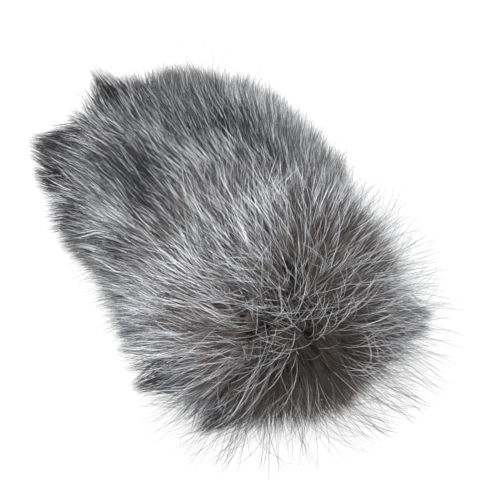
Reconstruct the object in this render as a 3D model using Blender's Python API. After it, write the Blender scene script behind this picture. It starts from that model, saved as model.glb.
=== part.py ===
"""A furry slip-on windscreen for a short shotgun microphone, lying on its side.

The microphone goes through a rubber grommet at the back into a slotted liner in a foam core.
A cover sewn from two fur panels fits over the core, with a zip in its right-hand seam.
Sizes are in metres. The windscreen lies along Y with its nose at -Y, on the plane Z = 0.
"""

import math

import bmesh
import bpy
from mathutils import Matrix, Vector

# Gap left between pieces that touch each other on the real object
FIT = 0.0003

# Foam core
CORE_R = 0.035
CORE_TUBE_LENGTH = 0.1405
CORE_NOSE_DEPTH = 0.026
NOSE_BLUNTNESS = 0.8  # power of the dome's sine and cosine: 1 is an ellipse, less is blunter

# Slotted liner that the microphone lies in
CAVITY_R = 0.011
LINER_WALL = 0.0012
LINER_SIDES = 24
LINER_SLOT_ROWS = 6
LINER_BAR = 0.004

# Base plate and the rubber grommet that grips the microphone
PLATE_T = 0.004
PLATE_HOLE_R = 0.016
GROMMET_BORE_R = 0.0112
GROMMET_LIP_R = 0.0095
GROMMET_LIP_T = 0.0016
GROMMET_LIPS = 3
GROMMET_REAR_R = 0.0225
GROMMET_REAR_T = 0.003
GROMMET_FRONT_R = 0.019
GROMMET_FRONT_T = 0.0025

# Cloth layers of the cover
TAPE_T = 0.0007
BACKING_T = 0.0014
BINDING_WIDTH = 0.010
HEM_WIDTH = 0.012
HEM_T = 0.0005
ELASTIC_T = 0.0008
ELASTIC_WIDTH = 0.009

# Fur pile up to where its hairs stand close, free all round and pressed where the windscreen lies on it
PILE_DEPTH = 0.028
PILE_PRESSED = 0.016
PILE_TAIL = 0.014
TAIL_ROUND = 0.021
TAIL_FLARE = 0.004

# Zip in the right-hand seam
ZIP_SETBACK = 0.001
ZIP_LENGTH = 0.108
ZIP_END = 0.004
ZIP_TAPE_SPLIT = 0.0009
ZIP_TAPE_WIDTH = 0.0145
ZIP_OPENING = 0.0065
ZIP_PARTING = 0.008
TOOTH_PITCH = 0.003
TOOTH_T = 0.0012
TOOTH_REACH = 0.0008
RIB_FROM = 0.0017
RIB_T = 0.0012
CHAIN_T = 0.0022
STOP_LENGTH = 0.003
STOP_RISE = 0.0008

# Zip slider and its pull
SLIDER_LENGTH = 0.012
SLIDER_WALL = 0.0012
EAR_T = 0.0012
EAR_WALL = 0.001
PIN_R = 0.0007
KNUCKLE_WALL = 0.0008
KNUCKLE_WIDTH = 0.0034
PULL_LENGTH = 0.024
PULL_WIDTH = 0.007
PULL_T = 0.0014
PULL_EYE_R = 0.0018
PULL_ROOM = 0.002

# Facets round a half turn, along a dome and round a small circle
HALF_TURN_STEPS = 24
DOME_STEPS = 8
SMALL_CIRCLE_SIDES = 16

# Radii of the layers, from the core outwards
tape_in_r = CORE_R + FIT
tape_out_r = tape_in_r + TAPE_T
backing_in_r = tape_out_r + FIT
backing_out_r = backing_in_r + BACKING_T
hem_in_r = CORE_R + FIT
elastic_in_r = hem_in_r + HEM_T + FIT
elastic_out_r = elastic_in_r + ELASTIC_T
hem_out_r = elastic_out_r + FIT + HEM_T
pile_in_r = max(backing_out_r, hem_out_r) + FIT
pile_out_r = pile_in_r + PILE_DEPTH
axis_height = pile_in_r + PILE_PRESSED


def dome_depth(radius):
    """How far a layer of this radius reaches ahead of the front of the foam tube."""
    return CORE_NOSE_DEPTH + FIT + radius - CORE_R


# Places along the axis, with the middle of the whole length at Y = 0
core_back_length = PLATE_T + FIT + CORE_TUBE_LENGTH
plate_rear_y = (core_back_length + dome_depth(pile_out_r) - PILE_TAIL) / 2
plate_front_y = plate_rear_y - PLATE_T
tube_rear_y = plate_front_y - FIT
dome_y = tube_rear_y - CORE_TUBE_LENGTH
grommet_rear_y = plate_rear_y + FIT + GROMMET_REAR_T
grommet_front_y = tube_rear_y - GROMMET_FRONT_T
hem_front_y = plate_rear_y - HEM_WIDTH
tail_y = plate_rear_y + PILE_TAIL
top_stop_y = plate_rear_y - ZIP_SETBACK - STOP_LENGTH
chain_rear_y = top_stop_y - FIT
chain_front_y = chain_rear_y - ZIP_LENGTH
bottom_stop_y = chain_front_y - FIT - STOP_LENGTH
tape_front_y = bottom_stop_y - ZIP_END
slider_y = chain_rear_y - SLIDER_LENGTH / 2
slider_stop_y = chain_front_y + SLIDER_LENGTH / 2
parting_front_y = min(bottom_stop_y - FIT, slider_stop_y - PULL_LENGTH - PULL_ROOM)

# Places across the zip, outwards along X from the axis
chain_in_x = tape_out_r + FIT
chain_out_x = chain_in_x + CHAIN_T
chain_half_width = RIB_FROM + RIB_T
slider_ceiling_x = chain_out_x + FIT
slider_top_x = slider_ceiling_x + SLIDER_WALL
slider_foot_x = tape_out_r + 2 * FIT
slider_half_width = chain_half_width + FIT + SLIDER_WALL
eye_r = PIN_R + FIT
knuckle_r = eye_r + KNUCKLE_WALL
ear_r = eye_r + EAR_WALL
pivot_x = slider_top_x + knuckle_r + FIT
ear_from_z = KNUCKLE_WIDTH / 2 + FIT
tape_from_angle = math.asin(ZIP_TAPE_SPLIT / tape_in_r)
tape_to_angle = math.asin(ZIP_TAPE_WIDTH / tape_in_r)
hem_from_angle = tape_to_angle + FIT / hem_in_r


for leftover in list(bpy.data.objects):
    bpy.data.objects.remove(leftover, do_unlink=True)


def finish(name, colour, roughness, metallic=0.0):
    """A plain Principled material."""
    material = bpy.data.materials.new(name)
    material.use_nodes = True
    shader = material.node_tree.nodes["Principled BSDF"]
    shader.inputs["Base Color"].default_value = (*colour, 1.0)
    shader.inputs["Roughness"].default_value = roughness
    shader.inputs["Metallic"].default_value = metallic
    return material


def empty(name, location, parent=None):
    """A place that pieces are hung from: the core's axis, the slider or the pull's pin."""
    place = bpy.data.objects.new(name, None)
    place.location = location
    place.parent = parent
    bpy.context.collection.objects.link(place)
    return place


def piece(name, bm, material, parent):
    """Turn a bmesh into a named object that is shaded smooth between its sharp edges."""
    bmesh.ops.recalc_face_normals(bm, faces=bm.faces)
    mesh = bpy.data.meshes.new(name)
    bm.to_mesh(mesh)
    bm.free()
    mesh.shade_smooth()
    mesh.set_sharp_from_angle(angle=math.radians(35))
    if material is not None:
        mesh.materials.append(material)
    solid = bpy.data.objects.new(name, mesh)
    solid.parent = parent
    bpy.context.collection.objects.link(solid)
    return solid


def turned(profile, start=0.0, sweep=math.tau):
    """Turn a closed profile of (radius, y) points about the Y axis, counted from +X towards +Z."""
    bm = bmesh.new()
    ring = [bm.verts.new((radius, y, 0.0)) for radius, y in profile]
    loop = [bm.edges.new((a, b)) for a, b in zip(ring, ring[1:] + ring[:1])]
    full = sweep == math.tau
    geometry = ring + loop if full else ring + loop + [bm.faces.new(ring)]
    axis = Vector((0.0, -1.0, 0.0))
    bmesh.ops.rotate(bm, verts=ring, cent=(0, 0, 0), matrix=Matrix.Rotation(start, 3, axis))
    bmesh.ops.spin(
        bm,
        geom=geometry,
        cent=(0, 0, 0),
        axis=axis,
        angle=sweep,
        steps=max(3, round(HALF_TURN_STEPS * sweep / math.pi)),
        use_merge=full,
    )
    bmesh.ops.remove_doubles(bm, verts=bm.verts, dist=1e-6)
    loose = [edge for edge in bm.edges if not edge.link_faces]
    bmesh.ops.delete(bm, geom=loose, context="EDGES")
    return bm


def dome(radius, depth, base_y):
    """Points (radius, y) of a blunt dome, from its pole to its rim at base_y."""
    points = []
    for step in range(DOME_STEPS + 1):
        angle = 0.5 * math.pi * step / DOME_STEPS
        out = radius * math.sin(angle) ** NOSE_BLUNTNESS
        ahead = depth * max(0.0, math.cos(angle)) ** NOSE_BLUNTNESS
        points.append((out, base_y - ahead))
    points[-1] = (radius, base_y)
    return points


def layer_dome(radius):
    """The nose of one layer of the cover."""
    return dome(radius, dome_depth(radius), dome_y)


def shell_profile(in_r, out_r, rear_y):
    """Profile of a cloth layer that is closed at the nose and open at rear_y."""
    return layer_dome(out_r) + [(out_r, rear_y), (in_r, rear_y)] + layer_dome(in_r)[::-1]


def extruded(outline, low, high):
    """Raise a flat outline of Vectors from its plane by the vectors low and high."""
    bm = bmesh.new()
    face = bm.faces.new([bm.verts.new(point + low) for point in outline])
    raised = bmesh.ops.extrude_face_region(bm, geom=[face])["geom"]
    moved = [item for item in raised if isinstance(item, bmesh.types.BMVert)]
    bmesh.ops.translate(bm, verts=moved, vec=high - low)
    return bm


def block(low, high):
    """A rectangular block between two corners."""
    corners = [(low[0], low[1]), (high[0], low[1]), (high[0], high[1]), (low[0], high[1])]
    outline = [Vector((x, y, 0.0)) for x, y in corners]
    return extruded(outline, Vector((0, 0, low[2])), Vector((0, 0, high[2])))


def rod(radius, half_length):
    """A round rod along Z, about the origin."""
    steps = [math.tau * side / SMALL_CIRCLE_SIDES for side in range(SMALL_CIRCLE_SIDES)]
    outline = [Vector((radius * math.cos(a), radius * math.sin(a), 0.0)) for a in steps]
    return extruded(outline, Vector((0, 0, -half_length)), Vector((0, 0, half_length)))


def cutter(name, bm, parent):
    """A hidden tool for cutting or joining pieces."""
    tool = piece(name, bm, None, parent)
    tool.hide_render = True
    tool.display_type = "WIRE"
    return tool


def apply_tool(solid, tool, operation="DIFFERENCE"):
    """Cut, join or intersect a piece with a hidden tool."""
    modifier = solid.modifiers.new(tool.name, "BOOLEAN")
    modifier.operation = operation
    modifier.object = tool


def fur_panel(name, material, parent, side):
    """The pile of one panel: half of the turned outer shape, pressed flat where it lies on Z = 0.

    side is 1 for the upper panel and -1 for the lower one.
    """
    corner = [
        (
            pile_out_r - TAIL_ROUND * (1 - math.cos(0.5 * math.pi * step / 4)),
            tail_y - TAIL_ROUND * (1 - math.sin(0.5 * math.pi * step / 4)),
        )
        for step in range(5)
    ]
    mouth = [(pile_in_r + TAIL_FLARE, tail_y), (pile_in_r, plate_rear_y)]
    profile = layer_dome(pile_out_r) + corner + mouth + layer_dome(pile_in_r)[::-1]
    bm = turned(profile, 0.0 if side > 0 else math.pi, math.pi)
    bmesh.ops.translate(bm, verts=bm.verts, vec=(0, 0, side * FIT / 2))
    if side < 0:
        bmesh.ops.bisect_plane(
            bm,
            geom=list(bm.verts) + list(bm.edges) + list(bm.faces),
            plane_co=(0, 0, -axis_height),
            plane_no=(0, 0, -1),
            clear_outer=True,
        )
        rim = [edge for edge in bm.edges if edge.is_boundary]
        bmesh.ops.contextual_create(bm, geom=rim)
    return piece(name, bm, material, parent)


def backing_panel(name, material, parent, side):
    """The knitted backing of one panel."""
    profile = shell_profile(backing_in_r, backing_out_r, hem_front_y - FIT)
    bm = turned(profile, 0.0 if side > 0 else math.pi, math.pi)
    bmesh.ops.translate(bm, verts=bm.verts, vec=(0, 0, side * FIT / 2))
    return piece(name, bm, material, parent)


def ring_segment(name, profile, material, parent, from_angle, to_angle):
    """Part of a turned ring, such as a tape on the curved side of the cover."""
    return piece(name, turned(profile, from_angle, to_angle - from_angle), material, parent)


def band_profile(in_r, out_r, front_y, rear_y):
    """A rectangular profile."""
    return [(in_r, front_y), (out_r, front_y), (out_r, rear_y), (in_r, rear_y)]


def zip_chain(name, material, parent, side):
    """One row of zip teeth on its rib. The lower row is the upper one turned over, half a pitch on."""
    count = int(ZIP_LENGTH / TOOTH_PITCH + 1e-6)
    rib_top = RIB_FROM + RIB_T
    points = [(chain_front_y, rib_top), (chain_rear_y, rib_top), (chain_rear_y, RIB_FROM)]
    for tooth in reversed(range(count)):
        middle = chain_front_y + TOOTH_PITCH * (tooth + (0.25 if side > 0 else 0.75))
        far = middle + TOOTH_T / 2
        near = middle - TOOTH_T / 2
        points += [(far, RIB_FROM), (far, -TOOTH_REACH), (near, -TOOTH_REACH), (near, RIB_FROM)]
    points.append((chain_front_y, RIB_FROM))
    outline = [Vector((0.0, y, side * z)) for y, z in points]
    bm = extruded(outline, Vector((chain_in_x, 0, 0)), Vector((chain_out_x, 0, 0)))
    return piece(name, bm, material, parent)


def zip_stop(name, material, parent, front_y, low_z, high_z):
    """A stop clamped on the end of the chain, standing proud of it so that the slider can't pass."""
    low = (chain_in_x, front_y, low_z)
    high = (chain_out_x + STOP_RISE, front_y + STOP_LENGTH, high_z)
    return piece(name, block(low, high), material, parent)


def slider_body(name, material, place):
    """A channel that runs over the chain, with two ears for the pull's pin. Its origin is on the pin."""
    half = slider_half_width
    inside = half - SLIDER_WALL
    section = [
        (-half, slider_foot_x),
        (-half, slider_top_x),
        (half, slider_top_x),
        (half, slider_foot_x),
        (inside, slider_foot_x),
        (inside, slider_ceiling_x),
        (-inside, slider_ceiling_x),
        (-inside, slider_foot_x),
    ]
    outline = [Vector((x - pivot_x, 0.0, z)) for z, x in section]
    half_length = Vector((0, SLIDER_LENGTH / 2, 0))
    body = piece(name, extruded(outline, -half_length, half_length), material, place)
    sunk = slider_ceiling_x + SLIDER_WALL / 2 - pivot_x
    crown = [math.pi * step / 8 - math.pi / 2 for step in range(9)]
    ear = [Vector((ear_r * math.cos(a), ear_r * math.sin(a), 0.0)) for a in crown]
    ear += [Vector((sunk, ear_r, 0.0)), Vector((sunk, -ear_r, 0.0))]
    for label, low in (("upper", ear_from_z), ("lower", -ear_from_z - EAR_T)):
        bm = extruded(ear, Vector((0, 0, low)), Vector((0, 0, low + EAR_T)))
        apply_tool(body, cutter(f"{label}_ear", bm, place), "UNION")
    hole = rod(eye_r, ear_from_z + EAR_T + FIT)
    apply_tool(body, cutter("ear_hole", hole, place))
    return body


def pull_tab(name, material, place):
    """A flat tab that hangs on the pin by a knuckle and lies forwards along the zip."""
    shoulder = ear_r + 2 * FIT
    half = PULL_WIDTH / 2
    neck = KNUCKLE_WIDTH / 2
    end = [math.pi + math.pi * step / 8 for step in range(9)]
    tip = [(half * math.cos(a), half - PULL_LENGTH + half * math.sin(a)) for a in end]
    points = [(neck, 0.0), (-neck, 0.0), (-neck, -shoulder), (-half, -shoulder)]
    points += tip + [(half, -shoulder), (neck, -shoulder)]
    outline = [Vector((0.0, y, z)) for z, y in points]
    half_t = Vector((PULL_T / 2, 0, 0))
    tab = piece(name, extruded(outline, -half_t, half_t), material, place)
    apply_tool(tab, cutter("knuckle", rod(knuckle_r, neck), place), "UNION")
    apply_tool(tab, cutter("knuckle_hole", rod(eye_r, neck + FIT), place))
    eye = rod(PULL_EYE_R, PULL_T)
    across = Matrix.Rotation(math.pi / 2, 3, "Y")
    bmesh.ops.rotate(eye, verts=eye.verts, cent=(0, 0, 0), matrix=across)
    bmesh.ops.translate(eye, verts=eye.verts, vec=(0, half - PULL_LENGTH, 0))
    apply_tool(tab, cutter("pull_eye", eye, place))
    return tab


def liner(name, material, parent):
    """A plastic tube with rows of long slots that let sound through."""
    rear_y = grommet_front_y - FIT
    slot = (rear_y - dome_y - LINER_BAR) / LINER_SLOT_ROWS - LINER_BAR
    along = [dome_y]
    for _ in range(LINER_SLOT_ROWS):
        along += [along[-1] + LINER_BAR, along[-1] + LINER_BAR + slot]
    along.append(rear_y)
    bm = bmesh.new()
    row = [bm.verts.new((CAVITY_R + LINER_WALL / 2, y, 0.0)) for y in along]
    line = [bm.edges.new(pair) for pair in zip(row, row[1:])]
    bmesh.ops.spin(
        bm,
        geom=row + line,
        cent=(0, 0, 0),
        axis=(0, -1, 0),
        angle=math.tau,
        steps=LINER_SIDES,
        use_merge=True,
    )
    bmesh.ops.remove_doubles(bm, verts=bm.verts, dist=1e-6)
    slots = []
    for face in bm.faces:
        middle = face.calc_center_median()
        column = int(math.atan2(middle.z, middle.x) % math.tau / math.tau * LINER_SIDES)
        gap = sum(middle.y > y for y in along) - 1
        if column % 2 == 0 and gap % 2 == 1:
            slots.append(face)
    bmesh.ops.delete(bm, geom=slots, context="FACES")
    tube = piece(name, bm, material, parent)
    wall = tube.modifiers.new("wall", "SOLIDIFY")
    wall.thickness = LINER_WALL
    wall.offset = 0.0
    return tube


def grommet(name, material, parent):
    """A rubber grommet that snaps into the plate's hole, with lips in its bore."""
    neck_r = PLATE_HOLE_R - FIT
    profile = [
        (GROMMET_BORE_R, grommet_rear_y),
        (GROMMET_REAR_R, grommet_rear_y),
        (GROMMET_REAR_R, plate_rear_y + FIT),
        (neck_r, plate_rear_y + FIT),
        (neck_r, tube_rear_y),
        (GROMMET_FRONT_R, tube_rear_y),
        (GROMMET_FRONT_R, grommet_front_y),
        (GROMMET_BORE_R, grommet_front_y),
    ]
    spacing = (grommet_rear_y - grommet_front_y) / (GROMMET_LIPS + 1)
    for lip in range(1, GROMMET_LIPS + 1):
        middle = grommet_front_y + lip * spacing
        profile += [
            (GROMMET_BORE_R, middle - GROMMET_LIP_T / 2),
            (GROMMET_LIP_R, middle),
            (GROMMET_BORE_R, middle + GROMMET_LIP_T / 2),
        ]
    return piece(name, turned(profile), material, parent)


fur = finish("fur", (0.22, 0.215, 0.21), 0.6)
knit = finish("knit_backing", (0.035, 0.032, 0.03), 0.9)
woven_tape = finish("woven_tape", (0.02, 0.02, 0.022), 0.85)
hem_cloth = finish("hem_cloth", (0.03, 0.03, 0.032), 0.85)
elastic = finish("elastic", (0.06, 0.06, 0.06), 0.8)
nylon = finish("zip_nylon", (0.025, 0.025, 0.027), 0.45)
zip_metal = finish("zip_metal", (0.09, 0.09, 0.095), 0.35, 0.9)
foam = finish("foam", (0.045, 0.045, 0.047), 0.95)
plastic = finish("liner_plastic", (0.03, 0.03, 0.03), 0.5)
board = finish("plate_plastic", (0.04, 0.04, 0.042), 0.55)
rubber = finish("rubber", (0.02, 0.02, 0.02), 0.7)

cover = empty("cover_axis", (0, 0, axis_height))
core = empty("core_axis", (0, 0, axis_height))
slider_place = empty("slider_place", (pivot_x, slider_y, 0), cover)
pin_place = empty("pin_place", (0, 0, 0), slider_place)

# Fur panels and their backing, parted along the zip
far_out = pile_out_r + PILE_DEPTH
panels = [
    fur_panel("upper_fur_pile", fur, cover, 1),
    fur_panel("lower_fur_pile", fur, cover, -1),
]
parting = block(
    (0, parting_front_y, -ZIP_PARTING),
    (far_out, tail_y + PILE_TAIL, ZIP_PARTING),
)
pile_parting = cutter("pile_parting", parting, cover)
for panel in panels:
    apply_tool(panel, pile_parting)
backings = [
    backing_panel("upper_backing", knit, cover, 1),
    backing_panel("lower_backing", knit, cover, -1),
]
opening = block(
    (0, bottom_stop_y - FIT, -ZIP_OPENING),
    (far_out, tail_y, ZIP_OPENING),
)
zip_opening = cutter("zip_opening", opening, cover)
for panel in backings:
    apply_tool(panel, zip_opening)

# Tape sewn over the seam inside the cover: left side, round the nose, and up to the zip
binding_profile = shell_profile(tape_in_r, tape_out_r, hem_front_y - FIT)
binding = piece("seam_binding", turned(binding_profile), woven_tape, cover)
half_binding = BINDING_WIDTH / 2
slab = block((-far_out, -far_out - tail_y, -half_binding), (far_out, tail_y, half_binding))
apply_tool(binding, cutter("binding_width", slab, cover), "INTERSECT")
zip_side = block((0, tape_front_y - FIT, -far_out), (far_out, tail_y, far_out))
apply_tool(binding, cutter("binding_end", zip_side, cover))

# Rear hem, a folded tunnel of cloth, and the elastic inside it
hem_fold = [
    (hem_in_r, hem_front_y),
    (hem_in_r, plate_rear_y),
    (hem_out_r, plate_rear_y),
    (hem_out_r, hem_front_y),
    (hem_out_r - HEM_T, hem_front_y),
    (hem_out_r - HEM_T, plate_rear_y - HEM_T),
    (hem_in_r + HEM_T, plate_rear_y - HEM_T),
    (hem_in_r + HEM_T, hem_front_y),
]
hem_to_angle = math.tau - hem_from_angle
ring_segment("rear_hem", hem_fold, hem_cloth, cover, hem_from_angle, hem_to_angle)
elastic_rear_y = plate_rear_y - HEM_T - FIT
elastic_band = band_profile(elastic_in_r, elastic_out_r, elastic_rear_y - ELASTIC_WIDTH, elastic_rear_y)
ring_segment("hem_elastic", elastic_band, elastic, cover, hem_from_angle, hem_to_angle)

# Zip, closed
zip_tape = band_profile(tape_in_r, tape_out_r, tape_front_y, plate_rear_y)
ring_segment("zip_tape_upper", zip_tape, woven_tape, cover, tape_from_angle, tape_to_angle)
ring_segment("zip_tape_lower", zip_tape, woven_tape, cover, -tape_to_angle, -tape_from_angle)
zip_chain("zip_chain_upper", nylon, cover, 1)
zip_chain("zip_chain_lower", nylon, cover, -1)
zip_stop("zip_bottom_stop", zip_metal, cover, bottom_stop_y, -chain_half_width, chain_half_width)
zip_stop("zip_top_stop_upper", zip_metal, cover, top_stop_y, ZIP_TAPE_SPLIT, chain_half_width)
zip_stop("zip_top_stop_lower", zip_metal, cover, top_stop_y, -chain_half_width, -ZIP_TAPE_SPLIT)
slider_body("zip_slider", zip_metal, slider_place)
piece("pull_pin", rod(PIN_R, ear_from_z + EAR_T), zip_metal, slider_place)
pull_tab("zip_pull", zip_metal, pin_place)

# Foam core with its liner, base plate and grommet
liner_seat_r = CAVITY_R + LINER_WALL + FIT
recess_r = GROMMET_FRONT_R + FIT
recess_y = grommet_front_y - FIT
foam_tube = [
    (liner_seat_r, dome_y),
    (CORE_R, dome_y),
    (CORE_R, tube_rear_y),
    (recess_r, tube_rear_y),
    (recess_r, recess_y),
    (liner_seat_r, recess_y),
]
piece("foam_tube", turned(foam_tube), foam, core)
foam_nose = dome(CORE_R, CORE_NOSE_DEPTH, dome_y - FIT) + [(0.0, dome_y - FIT)]
piece("foam_nose", turned(foam_nose), foam, core)
liner("mic_liner", plastic, core)
plate = band_profile(PLATE_HOLE_R, CORE_R, plate_front_y, plate_rear_y)
piece("base_plate", turned(plate), board, core)
grommet("grip_grommet", rubber, core)
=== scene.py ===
import math

import bmesh
import bpy
import numpy as np
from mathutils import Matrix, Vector


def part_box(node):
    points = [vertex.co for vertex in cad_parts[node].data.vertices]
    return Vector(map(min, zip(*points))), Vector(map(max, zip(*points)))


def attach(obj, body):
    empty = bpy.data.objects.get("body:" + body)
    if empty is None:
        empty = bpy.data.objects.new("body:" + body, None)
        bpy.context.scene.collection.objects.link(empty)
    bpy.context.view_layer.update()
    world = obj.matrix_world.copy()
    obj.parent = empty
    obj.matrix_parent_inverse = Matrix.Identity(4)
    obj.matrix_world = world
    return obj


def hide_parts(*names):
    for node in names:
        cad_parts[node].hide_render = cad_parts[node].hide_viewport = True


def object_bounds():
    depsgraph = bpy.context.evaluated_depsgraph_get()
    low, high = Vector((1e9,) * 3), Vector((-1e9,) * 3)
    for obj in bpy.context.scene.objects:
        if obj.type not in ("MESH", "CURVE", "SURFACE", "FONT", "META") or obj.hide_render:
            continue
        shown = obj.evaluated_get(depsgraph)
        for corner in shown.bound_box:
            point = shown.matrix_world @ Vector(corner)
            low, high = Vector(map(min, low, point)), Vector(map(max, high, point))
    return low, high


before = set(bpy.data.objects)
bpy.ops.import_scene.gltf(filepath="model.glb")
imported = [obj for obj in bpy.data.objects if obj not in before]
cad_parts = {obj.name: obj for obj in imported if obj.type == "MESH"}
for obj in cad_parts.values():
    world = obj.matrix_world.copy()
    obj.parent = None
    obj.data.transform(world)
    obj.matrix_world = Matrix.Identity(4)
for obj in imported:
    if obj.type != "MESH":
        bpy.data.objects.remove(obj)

cad_box = [list(corner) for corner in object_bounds()]

# Foam core
# A tube and a blunt nose cut from charcoal open-cell foam and glued end to end. They hold the
# round shape and the still air round the microphone, and slide into the fur cover.
tube_low, tube_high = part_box("foam_tube")
nose_low, nose_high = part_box("foam_nose")
AXIS_Z = (tube_low.z + tube_high.z) / 2
CORE_R = tube_high.x
BLUNTNESS = 0.8


def new_object(name, data):
    """Put a mesh, lamp or camera into the scene as an object at the origin."""
    thing = bpy.data.objects.new(name, data)
    bpy.context.scene.collection.objects.link(thing)
    return thing


def finish_surface(mesh, crease):
    """Merge doubled points, turn the faces outwards, and keep edges sharp that bend past the crease.

    The crease is an angle in degrees.
    """
    bm = bmesh.new()
    bm.from_mesh(mesh)
    bmesh.ops.remove_doubles(bm, verts=bm.verts, dist=1e-6)
    bmesh.ops.dissolve_degenerate(bm, edges=bm.edges, dist=1e-7)
    bmesh.ops.recalc_face_normals(bm, faces=bm.faces)
    bm.to_mesh(mesh)
    bm.free()
    mesh.shade_smooth()
    mesh.set_sharp_from_angle(angle=math.radians(crease))


def round_axis(radius, along, turn):
    """Points from a radius, a place along the axis and an angle: x = r cos a, z = axis + r sin a."""
    radius, along, turn = np.broadcast_arrays(radius, along, turn)
    return np.stack([radius * np.cos(turn), along, AXIS_Z + radius * np.sin(turn)], axis=-1)


def turned_mesh(name, profile, loop=True, sides=96):
    """Carry a profile of (radius, y) points once round the axis.

    A closed profile joins its last point to its first.
    """
    radius, along = np.asarray(profile, float).T
    angle = math.tau * np.arange(sides) / sides
    grid = round_axis(radius[:, None], along[:, None], angle)
    rows = len(grid)
    index = np.arange(rows * sides).reshape(rows, sides)
    right = np.roll(index, -1, 1)
    quads = np.stack([index, right, np.roll(right, -1, 0), np.roll(index, -1, 0)], -1)
    quads = quads[: rows if loop else rows - 1]
    mesh = bpy.data.meshes.new(name)
    mesh.from_pydata(grid.reshape(-1, 3), [], quads.reshape(-1, 4).tolist())
    finish_surface(mesh, crease=40)
    return new_object(name, mesh)


def rounded(points, radius, steps=5):
    """Round every corner of a closed outline with a curve from one side to the next.

    The curve is a quadratic one through the corner's two cut points, with the corner as its handle.
    """
    points = np.asarray(points, float)
    t = np.linspace(0, 1, steps)[:, None]
    turned = []
    for before, here, after in zip(np.roll(points, 1, 0), points, np.roll(points, -1, 0)):
        cut_in = min(radius, 0.45 * np.linalg.norm(before - here))
        cut_out = min(radius, 0.45 * np.linalg.norm(after - here))
        first = here + cut_in * (before - here) / np.linalg.norm(before - here)
        last = here + cut_out * (after - here) / np.linalg.norm(after - here)
        turned.append((1 - t) ** 2 * first + 2 * t * (1 - t) * here + t**2 * last)
    return np.concatenate(turned)


def dome(radius, depth, base_y, steps):
    """Points (r, y) of a blunt dome from pole to rim: r = R sin^p a, y = base - D cos^p a."""
    angle = np.linspace(0, math.pi / 2, steps)
    out = radius * np.sin(angle) ** BLUNTNESS
    return np.stack([out, base_y - depth * np.abs(np.cos(angle)) ** BLUNTNESS], axis=1)


def new_material(name, **sockets):
    """A Principled material with these inputs set, its node tree and its shader."""
    material = bpy.data.materials.new(name)
    material.use_nodes = True
    shader = material.node_tree.nodes["Principled BSDF"]
    for socket, value in sockets.items():
        shader.inputs[socket.replace("_", " ")].default_value = value
    return material, material.node_tree, shader


def add(tree, kind, links=(), **settings):
    """Add a node, set its properties, and link or set its inputs by name or number."""
    node = tree.nodes.new(kind)
    for key, value in settings.items():
        setattr(node, key, value)
    for socket, value in links:
        if isinstance(value, bpy.types.NodeSocket):
            tree.links.new(value, node.inputs[socket])
        else:
            node.inputs[socket].default_value = value
    return node


def object_place(tree):
    """The piece's own coordinates, in metres."""
    return add(tree, "ShaderNodeTexCoord").outputs["Object"]


def colour_ramp(tree, value, stops):
    """The colour that belongs to a value, between stops of a position and a colour."""
    ramp = add(tree, "ShaderNodeValToRGB", [(0, value)])
    elements = ramp.color_ramp.elements
    for element, (position, colour) in zip(elements, (stops[0], stops[-1])):
        element.position = position
        element.color = (*colour, 1)
    for position, colour in stops[1:-1]:
        elements.new(position).color = (*colour, 1)
    return ramp.outputs[0]


def raise_surface(tree, shader, height, strength, depth):
    """Bump the surface by a height whose range stands for this depth."""
    links = [("Height", height), ("Strength", strength), ("Distance", depth)]
    tree.links.new(add(tree, "ShaderNodeBump", links).outputs[0], shader.inputs["Normal"])


def grain(tree, shader, size, colours, depth, kind="ShaderNodeTexNoise"):
    """Speckle between two colours by a texture of this grain size, and raise it as a bump."""
    texture = add(tree, kind, [("Vector", object_place(tree)), ("Scale", 1 / size)])
    height = texture.outputs[0]
    colour = colour_ramp(tree, height, ((0.25, colours[0]), (0.75, colours[1])))
    tree.links.new(colour, shader.inputs["Base Color"])
    raise_surface(tree, shader, height, strength=0.6, depth=depth)
    return height


FIT = 0.0003
FOAM_EDGE, CAP_EDGE = 0.0012, 0.0006
LINER_SEAT_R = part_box("mic_liner")[1].x + FIT
RECESS_R, RECESS_DEPTH = 0.0193, 0.0028
foam, tree, shader = new_material("open_cell_foam", Roughness=0.95)
foam_colours = ((0.012, 0.012, 0.013), (0.06, 0.06, 0.063))
grain(tree, shader, size=0.0011, colours=foam_colours, depth=0.0006, kind="ShaderNodeTexVoronoi")
tube_outline = [
    (LINER_SEAT_R, tube_low.y),
    (CORE_R, tube_low.y),
    (CORE_R, tube_high.y),
    (RECESS_R, tube_high.y),
    (RECESS_R, tube_high.y - RECESS_DEPTH),
    (LINER_SEAT_R, tube_high.y - RECESS_DEPTH),
]
nose_outline = dome(CORE_R, nose_high.y - nose_low.y, nose_high.y, 28)
nose_outline = np.concatenate([nose_outline, [(CORE_R - CAP_EDGE, nose_high.y), (0.0, nose_high.y)]])
foam_body = turned_mesh("foam_body", rounded(tube_outline, FOAM_EDGE))
foam_cap = turned_mesh("foam_cap", nose_outline, loop=False)
for piece, node in ((foam_body, "foam_tube"), (foam_cap, "foam_nose")):
    piece.data.materials.append(foam)
    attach(piece, "core")
    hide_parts(node)

# Microphone liner
# A slotted tube moulded in black plastic and glued into the foam's bore. The microphone lies in it,
# and its slots let the sound through.


def refinish(node, material):
    """Give a CAD piece that keeps its shape a better material."""
    for place in bpy.data.objects[node].material_slots:
        place.material = material


plastic, tree, shader = new_material("moulded_plastic", Roughness=0.5)
liner_colours = ((0.022, 0.022, 0.023), (0.036, 0.036, 0.037))
grain(tree, shader, size=0.0009, colours=liner_colours, depth=0.00008)
refinish("mic_liner", plastic)

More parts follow.
